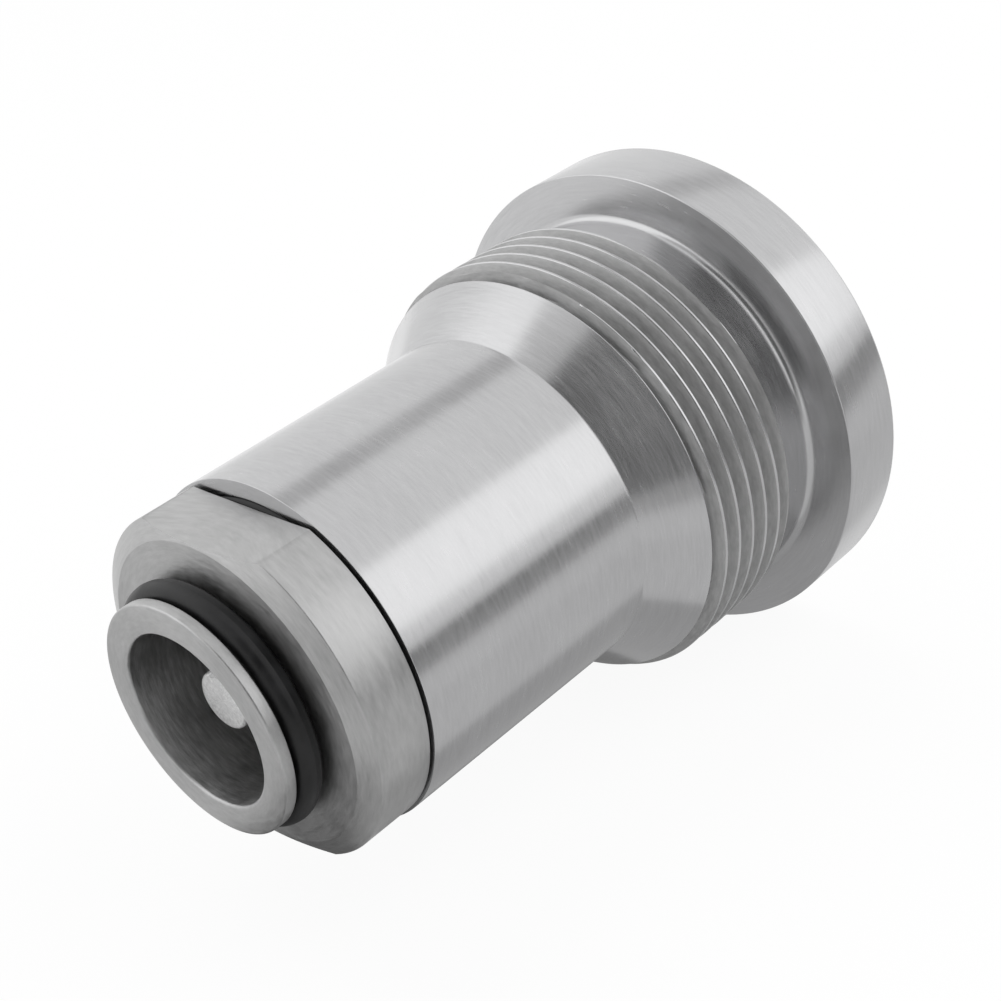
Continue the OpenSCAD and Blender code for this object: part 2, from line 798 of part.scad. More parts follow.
body();
end_adapter();
nose_o_ring();
joint_o_ring();
valve_guide();
rear_spring();
rear_washer();
socket();
socket_o_ring();
socket_backup_ring();
plug_seal();
plug_backup_ring();
dust_wiper();
poppet();
poppet_seal();
poppet_cap();
poppet_spring();
lock_ring();
cage_snap_ring();
front_washer();
wave_spring();
front_ring();
mouth_circlip();
locking_ball(1);  // locking_ball_1
locking_ball(2);  // locking_ball_2
locking_ball(3);  // locking_ball_3
locking_ball(4);  // locking_ball_4
locking_ball(5);  // locking_ball_5
locking_ball(6);  // locking_ball_6
locking_ball(7);  // locking_ball_7
locking_ball(8);  // locking_ball_8
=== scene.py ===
"""Looks of a screw-in hydraulic quick coupler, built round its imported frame.

The coupler lies along X with its nose at -X. Sizes of its pieces are in millimetres. A
place along the axis is counted from the collar's face that meets the body, towards the mouth.
"""
import json
import logging
import math
from dataclasses import dataclass
from enum import Enum
from typing import Iterable, Sequence

import bpy
from mathutils import Matrix, Vector


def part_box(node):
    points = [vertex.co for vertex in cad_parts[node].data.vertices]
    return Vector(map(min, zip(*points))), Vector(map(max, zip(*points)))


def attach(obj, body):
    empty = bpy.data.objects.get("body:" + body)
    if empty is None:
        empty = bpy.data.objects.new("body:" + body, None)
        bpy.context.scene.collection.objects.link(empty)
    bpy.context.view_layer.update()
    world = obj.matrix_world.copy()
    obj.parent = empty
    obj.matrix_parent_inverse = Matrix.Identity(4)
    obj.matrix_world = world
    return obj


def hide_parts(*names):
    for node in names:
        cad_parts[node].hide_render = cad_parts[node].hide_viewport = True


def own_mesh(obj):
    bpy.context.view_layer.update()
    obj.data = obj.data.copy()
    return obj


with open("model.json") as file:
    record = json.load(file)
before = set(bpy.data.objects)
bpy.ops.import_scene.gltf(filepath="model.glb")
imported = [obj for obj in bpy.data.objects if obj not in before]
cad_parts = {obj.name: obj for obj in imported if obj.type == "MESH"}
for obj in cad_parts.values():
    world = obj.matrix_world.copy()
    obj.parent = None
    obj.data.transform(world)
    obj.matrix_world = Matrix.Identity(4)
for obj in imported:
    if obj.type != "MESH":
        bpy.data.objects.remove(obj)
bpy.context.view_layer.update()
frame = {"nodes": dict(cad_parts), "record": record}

LOG = logging.getLogger("coupler")
MM = 0.001
# Gap between collar and body in the solids, in mm
COLLAR_GAP = 0.4
ZERO_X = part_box("body")[0].x / MM - COLLAR_GAP
WELD = 2e-6
SMOOTH_ANGLE = math.radians(32)
ARC_STEP = math.radians(24)
# Most of an edge that the rounding of one corner takes
EDGE_SHARE = 0.48
OUTER_STEPS = 192
INNER_STEPS = 128
WIRE_ROUNDNESS = 4
WHITE = (1, 1, 1, 1)

Point = tuple[float, float]
Range = tuple[float, float]
Corner = tuple[float, float, float]
Triple = tuple[float, float, float]
Piece = bpy.types.Object
Material = bpy.types.Material
Tree = bpy.types.NodeTree
Socket = bpy.types.NodeSocket


class Slot(Enum):
    """Material slots of the record."""

    TURNED = "turned_steel"
    DULL = "dull_turned_steel"
    GROUND = "ground_steel"
    SPRING = "spring_steel"
    BALL = "ball_steel"
    RUBBER = "black_rubber"
    PTFE = "white_ptfe"


class Body(Enum):
    """Bodies of the frame that pieces ride on."""

    ROOT = "root"
    SOCKET = "socket"


def linear(hex_colour: str) -> tuple[float, float, float, float]:
    """Turns an sRGB hex colour to linear.

    Args:
        hex_colour: The colour as "#RRGGBB".

    Returns:
        Linear red, green and blue, and an alpha of 1.
    """
    parts = [int(hex_colour[i:i + 2], 16) / 255 for i in (1, 3, 5)]
    red, green, blue = (c / 12.92 if c <= 0.04045 else ((c + 0.055) / 1.055) ** 2.4
                        for c in parts)
    return red, green, blue, 1.0


def add_node(tree: Tree, kind: str, settings: dict | None = None,
             inputs: dict | None = None) -> bpy.types.Node:
    """Adds a shader node.

    Args:
        tree: The node tree.
        kind: The node's type name.
        settings: Attributes to set on it.
        inputs: Values or sockets for its inputs, by name or number.

    Returns:
        The new node.
    """
    node = tree.nodes.new(kind)
    for name, value in (settings or {}).items():
        setattr(node, name, value)
    for name, value in (inputs or {}).items():
        if isinstance(value, Socket):
            tree.links.new(value, node.inputs[name])
        else:
            node.inputs[name].default_value = value
    return node


def calculated(tree: Tree, operation: str, *values: float | Socket) -> Socket:
    """Adds a Math node and returns its result."""
    return add_node(tree, "ShaderNodeMath", {"operation": operation},
                    dict(enumerate(values))).outputs[0]


def scaled(tree: Tree, vector: Triple | Socket, factor: float | Socket) -> Socket:
    """Adds a node that multiplies a vector or colour by a factor, and returns its result."""
    return add_node(tree, "ShaderNodeVectorMath", {"operation": "SCALE"},
                    {0: vector, "Scale": factor}).outputs[0]


def noise(tree: Tree, place: Socket, size_mm: float, detail: float) -> Socket:
    """Adds a node for even noise with patches of one size, and returns its value."""
    return add_node(tree, "ShaderNodeTexNoise", inputs={
        "Vector": place, "Scale": 1 / (size_mm * MM), "Detail": detail}).outputs["Fac"]


def blank_material(name: str) -> tuple[Material, Tree]:
    """Makes a material with an empty node tree, and returns both."""
    material = bpy.data.materials.new(name)
    material.use_nodes = True
    material.node_tree.nodes.clear()
    return material, material.node_tree


def surfaced(material: Material, shader: bpy.types.Node) -> Material:
    """Shows a shader as a material's surface, and returns the material."""
    add_node(material.node_tree, "ShaderNodeOutputMaterial",
             inputs={"Surface": shader.outputs[0]})
    return material


@dataclass(frozen=True)
class AxisCoordinates:
    """Object coordinates turned into place along the outline and direction round the axis."""

    tree: Tree
    # Share of the radius in the place, so that faces square to the axis get marks as well
    radius_share: float = 1.2

    def parts(self) -> tuple[Socket, Socket]:
        """Splits the place of a point.

        Returns:
            Place along a turned outline, in metres, and direction round the axis.
        """
        place = add_node(self.tree, "ShaderNodeTexCoord").outputs["Object"]
        split = add_node(self.tree, "ShaderNodeSeparateXYZ", inputs={0: place})
        across = add_node(self.tree, "ShaderNodeCombineXYZ",
                          inputs={"Y": split.outputs["Y"], "Z": split.outputs["Z"]}).outputs[0]
        radius = add_node(self.tree, "ShaderNodeVectorMath", {"operation": "LENGTH"},
                          {0: across}).outputs["Value"]
        round_axis = add_node(self.tree, "ShaderNodeVectorMath", {"operation": "NORMALIZE"},
                              {0: across}).outputs["Vector"]
        along = calculated(self.tree, "MULTIPLY_ADD", radius, self.radius_share,
                           split.outputs["X"])
        return along, round_axis

    def marks(self, along: Socket, round_axis: Socket, spacing: float,
              streak: float) -> Socket:
        """Noise drawn out round the axis, as a turning tool leaves it.

        Args:
            along: Place along the outline.
            round_axis: Direction round the axis.
            spacing: Spacing of the marks in mm.
            streak: How often a mark changes round the axis.

        Returns:
            The noise, from 0 to 1.
        """
        counted = calculated(self.tree, "MULTIPLY", along, 1 / (spacing * MM))
        turned = scaled(self.tree, round_axis, streak)
        offset = add_node(self.tree, "ShaderNodeCombineXYZ", inputs={"X": counted}).outputs[0]
        where = add_node(self.tree, "ShaderNodeVectorMath", {"operation": "ADD"},
                         {0: turned, 1: offset}).outputs[0]
        return add_node(self.tree, "ShaderNodeTexNoise", {"noise_dimensions": "3D"},
                        {"Vector": where, "Scale": 1.0, "Detail": 2.0,
                         "Roughness": 0.6}).outputs["Fac"]


def remapped(tree: Tree, value: Socket, source: Range, target: Range) -> Socket:
    """Adds a node that maps a value from one range to another, and returns its result."""
    return add_node(tree, "ShaderNodeMapRange", {"clamp": True},
                    {"Value": value, "From Min": source[0], "From Max": source[1],
                     "To Min": target[0], "To Max": target[1]}).outputs[0]


@dataclass(frozen=True)
class TurnedMetal:
    """A metal that was turned or ground, with marks that run round the axis."""

    name: str
    colour: str
    roughness: float
    anisotropy: float
    mark_mm: float
    mark_depth_mm: float
    tone: float = 0.12
    feed_mm: float = 1.3
    streak: float = 7.0
    specks: bool = True
    feed_streak: float = 1.5
    cloud_mm: float = 6.0
    # Weights of the feed bands and of the cloud beside the fine marks, and what they add up to
    feed_share: float = 0.5
    cloud_share: float = 0.6
    mixed_range: Range = (0.7, 1.4)
    # Share of the tone that lightens, and factors for the smoothest and roughest places
    lift: float = 0.4
    smoothest: float = 0.85
    roughest: float = 1.18
    # Spacing of the pits, where their dark centre ends and their edge, and their shade
    speck_mm: float = 4.0
    speck_range: Range = (0.015, 0.028)
    speck_shade: float = 0.3

    def material(self) -> Material:
        """Builds the material from fine marks, slower feed bands and a soft cloud."""
        material, tree = blank_material(self.name)
        coordinates = AxisCoordinates(tree)
        along, round_axis = coordinates.parts()
        fine = coordinates.marks(along, round_axis, self.mark_mm, self.streak)
        feed = coordinates.marks(along, round_axis, self.feed_mm, self.feed_streak)
        place = add_node(tree, "ShaderNodeTexCoord").outputs["Object"]
        cloud = noise(tree, place, self.cloud_mm, detail=3.0)
        height = calculated(tree, "MULTIPLY_ADD", feed, self.feed_share, fine)
        mixed = calculated(tree, "MULTIPLY_ADD", cloud, self.cloud_share, height)
        shade = remapped(tree, mixed, self.mixed_range,
                         (1 - self.tone, 1 + self.tone * self.lift))
        if self.specks:
            shade = calculated(tree, "MULTIPLY", shade, self.pits(tree, place))
        base = scaled(tree, linear(self.colour)[:3], shade)
        rough = remapped(tree, mixed, self.mixed_range,
                         (self.roughness * self.smoothest,
                          min(1.0, self.roughness * self.roughest)))
        bump = add_node(tree, "ShaderNodeBump", inputs={
            "Height": height, "Strength": 1.0, "Distance": self.mark_depth_mm * MM})
        tangent = add_node(tree, "ShaderNodeTangent", {"direction_type": "RADIAL", "axis": "X"})
        shader = add_node(tree, "ShaderNodeBsdfPrincipled", inputs={
            "Base Color": base, "Metallic": 1.0, "Roughness": rough,
            "Anisotropic": self.anisotropy, "Anisotropic Rotation": 0.25,
            "Tangent": tangent.outputs[0], "Normal": bump.outputs[0]})
        return surfaced(material, shader)

    def pits(self, tree: Tree, place: Socket) -> Socket:
        """Draws a few tiny dark pits, as a factor that is 1 away from them."""
        cells = add_node(tree, "ShaderNodeTexVoronoi", inputs={
            "Vector": place, "Scale": 1 / (self.speck_mm * MM), "Randomness": 1.0})
        return remapped(tree, cells.outputs["Distance"], self.speck_range,
                        (self.speck_shade, 1.0))


@dataclass(frozen=True)
class Rubber:
    """Moulded nitrile rubber: nearly black, satin, with a faint bloom."""

    name: str = "black_nitrile_rubber_moulded"
    colour: str = "#101011"
    bloom: str = "#222223"
    bloom_mm: float = 2.5
    bloom_range: Range = (0.4, 0.75)
    grain_mm: float = 0.2
    grain_depth_mm: float = 0.01
    rough_range: Range = (0.3, 0.7)
    roughness: Range = (0.32, 0.52)

    def material(self) -> Material:
        """Builds the material: bloom in soft clouds, with a fine mould texture."""
        material, tree = blank_material(self.name)
        place = add_node(tree, "ShaderNodeTexCoord").outputs["Object"]
        cloud = noise(tree, place, self.bloom_mm, detail=4.0)
        grain = noise(tree, place, self.grain_mm, detail=2.0)
        colour = add_node(tree, "ShaderNodeMix", {"data_type": "RGBA"}, {
            "Factor": remapped(tree, cloud, self.bloom_range, (0.0, 1.0)),
            6: linear(self.colour), 7: linear(self.bloom)}).outputs[2]
        rough = remapped(tree, cloud, self.rough_range, self.roughness)
        bump = add_node(tree, "ShaderNodeBump", inputs={
            "Height": grain, "Strength": 0.5, "Distance": self.grain_depth_mm * MM})
        shader = add_node(tree, "ShaderNodeBsdfPrincipled", inputs={
            "Base Color": colour, "Roughness": rough, "IOR": 1.4, "Normal": bump.outputs[0]})
        return surfaced(material, shader)


@dataclass(frozen=True)
class Ptfe:
    """Machined PTFE: waxy white, with faint turning marks."""

    name: str = "white_ptfe_machined"
    colour: str = "#E9E7DF"
    roughness: float = 0.5
    mark_mm: float = 0.25
    mark_depth_mm: float = 0.01
    mark_range: Range = (0.3, 0.7)
    mark_shade: float = 0.93
    streak: float = 3.0

    def material(self) -> Material:
        """Builds the material: a warm white that its marks shade a little and bump."""
        material, tree = blank_material(self.name)
        coordinates = AxisCoordinates(tree)
        along, round_axis = coordinates.parts()
        fine = coordinates.marks(along, round_axis, self.mark_mm, self.streak)
        shade = remapped(tree, fine, self.mark_range, (self.mark_shade, 1.0))
        base = scaled(tree, linear(self.colour)[:3], shade)
        bump = add_node(tree, "ShaderNodeBump", inputs={
            "Height": fine, "Strength": 0.6, "Distance": self.mark_depth_mm * MM})
        shader = add_node(tree, "ShaderNodeBsdfPrincipled", inputs={
            "Base Color": base, "Roughness": self.roughness, "IOR": 1.35,
            "Normal": bump.outputs[0]})
        return surfaced(material, shader)


@dataclass(frozen=True)
class Finishes:
    """Every finish of the coupler, built once."""

    # Free-cutting steel, fine turned: satin grey that stretches lights along the axis
    turned: Material
    # The same steel with a coarser, duller cut on the adapter
    dull: Material
    # Thread flanks straight from the tool: matt, with a darker colour that is painted shade in
    # the thread's grooves
    flank: Material
    # Drilled bore: a darker, uneven tone that is painted shade inside the nose, with fine rings
    # from the drill
    bore: Material
    # Rough pale end of the guide's hub, which catches the light inside the nose
    hub: Material
    # Hardened steel, ground: brighter and smoother
    ground: Material
    # Oiled spring wire: dark with a soft gloss
    spring: Material
    # Rolling bearing steel: polished
    ball: Material
    rubber: Material
    ptfe: Material

    @staticmethod
    def build() -> "Finishes":
        """Builds all materials."""
        return Finishes(
            turned=TurnedMetal("turned_steel_fine_satin", "#C4C4C5", 0.24, 0.6,
                               0.3, 0.0009, tone=0.09, streak=8.0).material(),
            dull=TurnedMetal("turned_steel_dull", "#BCBCBC", 0.4, 0.35,
                             0.42, 0.02, tone=0.2, streak=9.0).material(),
            # The flanks' darker colour and deeper tone are painted shade
            flank=TurnedMetal("cut_thread_flank_steel_painted_shade", "#BEBEBE", 0.6, 0.0,
                              0.5, 0.012, tone=0.34, feed_mm=2.6, streak=16.0,
                              specks=False).material(),
            # The bore's darker, uneven tone is painted shade
            bore=TurnedMetal("drilled_bore_steel_painted_shade", "#BEBEBE", 0.4, 0.3,
                             0.35, 0.02, tone=0.4, streak=5.0, specks=False).material(),
            hub=TurnedMetal("rough_forged_hub_steel", "#EDEDED", 0.5, 0.0,
                            0.35, 0.04, tone=0.3, streak=9.0, specks=False).material(),
            ground=TurnedMetal("hardened_steel_ground", "#C8C8C9", 0.22, 0.4,
                               0.18, 0.002, tone=0.06).material(),
            spring=TurnedMetal("spring_wire_oiled", "#747476", 0.34, 0.0,
                               0.5, 0.002, tone=0.15, specks=False).material(),
            ball=TurnedMetal("bearing_steel_polished", "#D2D2D4", 0.1, 0.0,
                             0.6, 0.0005, tone=0.04, specks=False).material(),
            rubber=Rubber().material(), ptfe=Ptfe().material())


def station(radius: float, place: float) -> Vector:
    """A point on an outline, on the side that faces up.

    Args:
        radius: Distance from the axis in mm.
        place: Place along the axis in mm.

    Returns:
        The point in the frame, in metres.
    """
    return Vector(((place + ZERO_X) * MM, 0.0, radius * MM))


def rounded(corners: Sequence[Corner], closed: bool) -> list[Point]:
    """Rounds the corners of an outline.

    Args:
        corners: Radius, place and rounding of each corner, in mm.
        closed: Whether the last corner joins the first.

    Returns:
        The outline's points, with an arc in place of each rounded corner.
    """
    points: list[Point] = []
    count = len(corners)
    for i, (radius, place, rounding) in enumerate(corners):
        at_end = not closed and i in (0, count - 1)
        if rounding == 0 or at_end:
            points.append((radius, place))
            continue
        here = Vector((radius, place))
        before = Vector(corners[i - 1][:2]) - here
        after = Vector(corners[(i + 1) % count][:2]) - here
        half = before.angle(after) / 2
        reach = min(rounding / math.tan(half),
                    EDGE_SHARE * before.length, EDGE_SHARE * after.length)
        centre = here + (before.normalized() + after.normalized()).normalized() * (
            reach / math.cos(half))
        start = here + before.normalized() * reach - centre
        end = here + after.normalized() * reach - centre
        turn = start.angle_signed(end)
        steps = max(2, math.ceil(abs(turn) / ARC_STEP))
        for k in range(steps + 1):
            angle = math.atan2(start.y, start.x) - turn * k / steps
            points.append((centre.x + start.length * math.cos(angle),
                           centre.y + start.length * math.sin(angle)))
    return points


class Workshop:
    """The machine tools: each method works on one selected object with Blender's operators."""

    @staticmethod
    def alone(piece: Piece) -> None:
        """Selects one object and nothing else."""
        bpy.ops.object.select_all(action="DESELECT")
        piece.select_set(True)
        bpy.context.view_layer.objects.active = piece

    @staticmethod
    def plane(name: str, size: float) -> Piece:
        """Lays out a plane, its side in metres, and returns it selected alone."""
        bpy.ops.object.select_all(action="DESELECT")
        bpy.ops.mesh.primitive_plane_add(size=size)
        bpy.context.object.name = name
        return bpy.context.object

    @staticmethod
    def draw(name: str, points: Sequence[Point], closed: bool) -> Piece:
        """Draws an outline as a chain of edges.

        Args:
            name: Name of the new object.
            points: The outline's points, radius and place in mm.
            closed: Whether the chain ends where it began.

        Returns:
            The new object, left in edit mode.
        """
        chain = [station(*p) for p in points]
        return Workshop.draw_chain(name, chain + chain[:1] if closed else chain)

    @staticmethod
    def draw_chain(name: str, chain: Sequence[Vector]) -> Piece:
        """Draws a chain of edges.

        Args:
            name: Name of the new object.
            chain: Its points in metres.

        Returns:
            The new object, left in edit mode.
        """
        piece = Workshop.plane(name, MM)
        bpy.ops.object.mode_set(mode="EDIT")
        bpy.ops.mesh.select_all(action="SELECT")
        bpy.ops.mesh.merge(type="CENTER")
        bpy.ops.transform.translate(value=chain[0])
        for before, after in zip(chain, chain[1:]):
            bpy.ops.mesh.extrude_region_move(
                TRANSFORM_OT_translate={"value": after - before})
        return piece

    @staticmethod
    def weld(outward: bool = True) -> None:
        """Merges doubles, and turns the faces outward if asked, in edit mode."""
        bpy.ops.mesh.select_all(action="SELECT")
        bpy.ops.mesh.remove_doubles(threshold=WELD)
        if outward:
            bpy.ops.mesh.normals_make_consistent(inside=False)

    @classmethod
    def turn(cls, name: str, corners: Sequence[Corner], closed: bool = True,
             steps: int = INNER_STEPS, outward: bool = True) -> Piece:
        """Turns a piece from its outline.

        Args:
            name: Name of the new object.
            corners: Radius, place and rounding of each corner, in mm.
            closed: Whether the outline is a loop.
            steps: Steps round the axis.
            outward: Whether its faces are turned outward here.

        Returns:
            The turned object.
        """
        piece = cls.draw(name, rounded(corners, closed), closed)
        bpy.ops.mesh.select_all(action="SELECT")
        bpy.ops.mesh.spin(steps=steps, angle=math.tau, center=(0, 0, 0), axis=(1, 0, 0))
        cls.weld(outward)
        bpy.ops.object.mode_set(mode="OBJECT")
        return piece

    @classmethod
    def wind(cls, name: str, chain: Sequence[Vector], wire: float) -> Piece:
        """Bends a round wire along a chain of points.

        Args:
            name: Name of the new object.
            chain: Points of the wire's middle line, in metres.
            wire: The wire's diameter in mm.

        Returns:
            The wire.
        """
        piece = cls.draw_chain(name, chain)
        bpy.ops.object.mode_set(mode="OBJECT")
        cls.alone(piece)
        bpy.ops.object.convert(target="CURVE")
        piece.data.bevel_depth = wire / 2 * MM
        piece.data.bevel_resolution = WIRE_ROUNDNESS
        piece.data.use_fill_caps = True
        bpy.ops.object.convert(target="MESH")
        bpy.ops.object.mode_set(mode="EDIT")
        cls.weld()
        bpy.ops.object.mode_set(mode="OBJECT")
        return piece

    @classmethod
    def apply(cls, piece: Piece, kind: str, **settings: object) -> None:
        """Adds a modifier and applies it.

        Args:
            piece: The object.
            kind: The modifier's type.
            settings: Attributes to set on it.
        """
        cls.alone(piece)
        modifier = piece.modifiers.new(kind.lower(), kind)
        for name, value in settings.items():
            setattr(modifier, name, value)
        bpy.ops.object.modifier_apply(modifier=modifier.name)

    @classmethod
    def combine(cls, piece: Piece, tool: Piece, operation: str) -> None:
        """Joins a tool to a piece or cuts the piece with it, and removes the tool."""
        cls.apply(piece, "BOOLEAN", operation=operation, object=tool, solver="EXACT")
        bpy.data.objects.remove(tool)

    @classmethod
    def plane_cut(cls, piece: Piece, at: Vector, outward: Vector) -> None:
        """Cuts off what lies past a plane and closes the cut.

        Args:
            piece: The object.
            at: A point on the plane.
            outward: The plane's normal, towards what goes.
        """
        cls.alone(piece)
        bpy.ops.object.mode_set(mode="EDIT")
        bpy.ops.mesh.select_all(action="SELECT")
        bpy.ops.mesh.bisect(plane_co=at, plane_no=outward, use_fill=True, clear_outer=True)
        bpy.ops.object.mode_set(mode="OBJECT")

    @classmethod
    def block(cls, name: str, low: Triple, high: Triple,
              about_axis: float) -> Piece:
        """Saws a block.

        Args:
            name: Name of the new object.
            low: Lowest place along the axis, Y and Z, in mm.
            high: Highest place along the axis, Y and Z, in mm.
            about_axis: Turn about the coupler's axis, in degrees.

        Returns:
            The block.
        """
        bpy.ops.object.select_all(action="DESELECT")
        bpy.ops.mesh.primitive_cube_add(size=1.0)
        piece = bpy.context.object
        piece.name = name
        bpy.ops.object.mode_set(mode="EDIT")
        bpy.ops.mesh.select_all(action="SELECT")
        bpy.ops.transform.resize(value=[(b - a) * MM for a, b in zip(low, high)])
        middle = [(a + b) / 2 * MM for a, b in zip(low, high)]
        middle[0] += ZERO_X * MM
        bpy.ops.transform.translate(value=middle)
        bpy.ops.transform.rotate(value=math.radians(about_axis), orient_axis="X",
                                 center_override=(0, 0, 0))
        bpy.ops.object.mode_set(mode="OBJECT")
        return piece

    @classmethod
    def join(cls, pieces: Sequence[Piece]) -> Piece:
        """Joins objects into the first one and welds them.

        Args:
            pieces: The objects.

        Returns:
            The joined object.
        """
        cls.alone(pieces[0])
        for other in pieces[1:]:
            other.select_set(True)
        bpy.ops.object.join()
        bpy.ops.object.mode_set(mode="EDIT")
        cls.weld()
        bpy.ops.object.mode_set(mode="OBJECT")
        return pieces[0]

    @classmethod
    def deburr(cls, piece: Piece) -> None:
        """Welds a piece after its cuts and unions, and drops faces without area.

        Args:
            piece: The object.
        """
        cls.alone(piece)
        bpy.ops.object.mode_set(mode="EDIT")
        cls.weld()
        bpy.ops.mesh.dissolve_degenerate(threshold=WELD)
        bpy.ops.object.mode_set(mode="OBJECT")
        piece.data.validate()

    @classmethod
    def hand_over(cls, piece: Piece, body: str, slot: Slot,
                  materials: Iterable[Material], replaced: Sequence[str]) -> None:
        """Smooths a finished piece, dresses it and puts it on its body.

        Args:
            piece: The object.
            body: The body that it rides on.
            slot: The record's slot; not used.
            materials: Its materials, in order.
            replaced: The nodes that it stands for.
        """
        cls.alone(piece)
        bpy.ops.object.shade_smooth_by_angle(angle=SMOOTH_ANGLE)
        for material in materials:
            piece.data.materials.append(material)
        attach(piece, body)
        if replaced:
            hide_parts(*replaced)
        LOG.info("%s: %d faces, rides on %s", piece.name, len(piece.data.polygons), body)


@dataclass
class Assembly:
    """A sub-assembly of the coupler, which builds and dresses its pieces from its own sizes."""

    finishes: Finishes


@dataclass
class ThreadedBody(Assembly):
    """Barrel, cone, mounting thread, relief and flange, turned from one bar."""

    # The outside, from the collar to the mouth
    front: float = 0.3
    radius: float = 16.5
    barrel_l: float = 27.2
    cone_l: float = 4.9
    cone_r: float = 20.25
    thread_r: float = 21.0
    pitch: float = 2.0
    thread_l: float = 11.9
    relief_r: float = 19.45
    relief_l: float = 4.3
    relief_taper: float = 0.35
    neck_fillet: float = 0.8
    flange_r: float = 24.1
    flange_w: float = 7.3
    # The bore, from the mouth to the collar
    chamber_r: float = 17.6
    chamber_lead: float = 0.1
    circlip_groove: Range = (53.44, 54.7)
    circlip_depth: float = 1.0
    cage_r: float = 14.0
    cage_step: float = 23.18
    tail_r: float = 12.5
    seal_groove: Range = (16.06, 19.36)
    seal_groove_r: float = 14.5
    spigot_r: float = 14.03
    spigot_end: float = 9.2
    lip_r: float = 14.95
    lip_end: float = 2.4
    # Form of the thread, and its two ends
    crest_flat: float = 0.25
    crest_break: float = 0.03
    flank_steps: tuple[float, ...] = (0.3, 0.5, 0.7, 0.86)
    root_r: float = 19.8
    crest_phase: float = 0.17
    start_step: float = 0.22
    start_gap: float = 0.25
    start_slope: float = 5.0
    end_slope: float = 1.0
    run_in_turns: int = 2
    run_out_turns: int = 1
    # Distance from crests and relief at which the flanks' material, with its painted shade,
    # ends
    crest_margin: float = 0.06
    relief_margin: float = 0.1

    @property
    def cone_top(self) -> float:
        """Place of the cone's top edge."""
        return self.barrel_l + self.cone_l

    @property
    def thread_start(self) -> float:
        """Place where the thread's root begins."""
        return self.cone_top + self.start_step

    @property
    def thread_end(self) -> float:
        """Place where the thread's root ends."""
        return self.cone_top + self.thread_l

    @property
    def seat(self) -> float:
        """Place of the flange's seat face."""
        return self.thread_end + self.relief_l

    @property
    def mouth(self) -> float:
        """Place of the flange's open face."""
        return self.seat + self.flange_w

    def build(self) -> None:
        """Builds and dresses the body."""
        blank = self.blank()
        thread = self.thread()
        body = Workshop.join([blank, thread])
        body.name = "body_turned"
        # The flanks get a darker material: painted shade in the thread's grooves
        self.mark_flanks(body)
        Workshop.hand_over(body, Body.ROOT.value, Slot.TURNED,
                           [self.finishes.turned, self.finishes.flank], ["body"])

    def blank(self) -> Piece:
        """Turns all of the body except the thread, as a shell open at the thread.

        Returns:
            The open shell, whose two rims meet the thread's.
        """
        chamber = self.cone_top - self.chamber_lead
        circlip_start, circlip_end = self.circlip_groove
        circlip_r = self.chamber_r + self.circlip_depth
        seal_start, seal_end = self.seal_groove
        corners = [
            (self.root_r, self.thread_end, 0),
            (self.relief_r, self.thread_end + self.relief_taper, 0.3),
            (self.relief_r, self.seat, self.neck_fillet),
            (self.flange_r, self.seat, 0.14),
            (self.flange_r, self.mouth, 0.35),
            (self.chamber_r, self.mouth, 0.4),
            (self.chamber_r, circlip_end, 0), (circlip_r, circlip_end, 0),
            (circlip_r, circlip_start, 0), (self.chamber_r, circlip_start, 0),
            (self.chamber_r, chamber, 0), (self.cage_r, chamber, 0.3),
            (self.cage_r, self.cage_step, 0), (self.tail_r, self.cage_step, 0.3),
            (self.tail_r, seal_end, 0), (self.seal_groove_r, seal_end, 0),
            (self.seal_groove_r, seal_start, 0), (self.tail_r, seal_start, 0),
            (self.tail_r, self.spigot_end, 0), (self.spigot_r, self.spigot_end, 0),
            (self.spigot_r, self.lip_end, 0), (self.lip_r, self.lip_end, 0),
            (self.lip_r, self.front, 0.05), (self.radius, self.front, 0.04),
            (self.radius, self.barrel_l, 0.45),
            (self.cone_r, self.cone_top, 0.1),
            (self.root_r, self.thread_start, 0)]
        return Workshop.turn("body_blank", corners, closed=False, steps=OUTER_STEPS,
                             outward=False)

    def tooth(self, part: float) -> float:
        """Radius of the thread's form.

        Args:
            part: Share of the pitch from the middle of a crest.

        Returns:
            The radius in mm.
        """
        from_crest = abs(part - round(part)) * self.pitch
        flank = from_crest - self.crest_flat / 2
        radius = self.thread_r - max(0.0, flank) * math.sqrt(3)
        return max(radius, self.root_r)

    def thread(self) -> Piece:
        """Sweeps the thread's form into a right-hand helix between its two rims.

        Returns:
            The thread's open shell.
        """
        first = self.thread_start - self.run_in_turns * self.pitch
        half_flat = self.crest_flat / 2
        steps = [0.0, half_flat - self.crest_break, half_flat + self.crest_break,
                 *self.flank_steps]
        offsets = sorted(steps + [self.pitch - s for s in steps[1:]])
        spare = (self.run_in_turns + self.run_out_turns) * self.pitch
        turns = math.ceil((self.thread_l + spare) / self.pitch)
        rows = [first + self.pitch * (k + self.crest_phase) + offset
                for k in range(turns) for offset in offsets]
        points = [(self.tooth((z - first) / self.pitch - self.crest_phase), z) for z in rows]
        thread = Workshop.draw("thread_form", points, closed=False)
        bpy.ops.object.mode_set(mode="OBJECT")
        Workshop.apply(thread, "SCREW", axis="X", angle=math.tau, screw_offset=self.pitch * MM,
                       steps=OUTER_STEPS, render_steps=OUTER_STEPS, use_merge_vertices=False)
        self.trim(thread)
        bpy.ops.object.mode_set(mode="EDIT")
        Workshop.weld(outward=False)
        bpy.ops.object.mode_set(mode="OBJECT")
        return thread

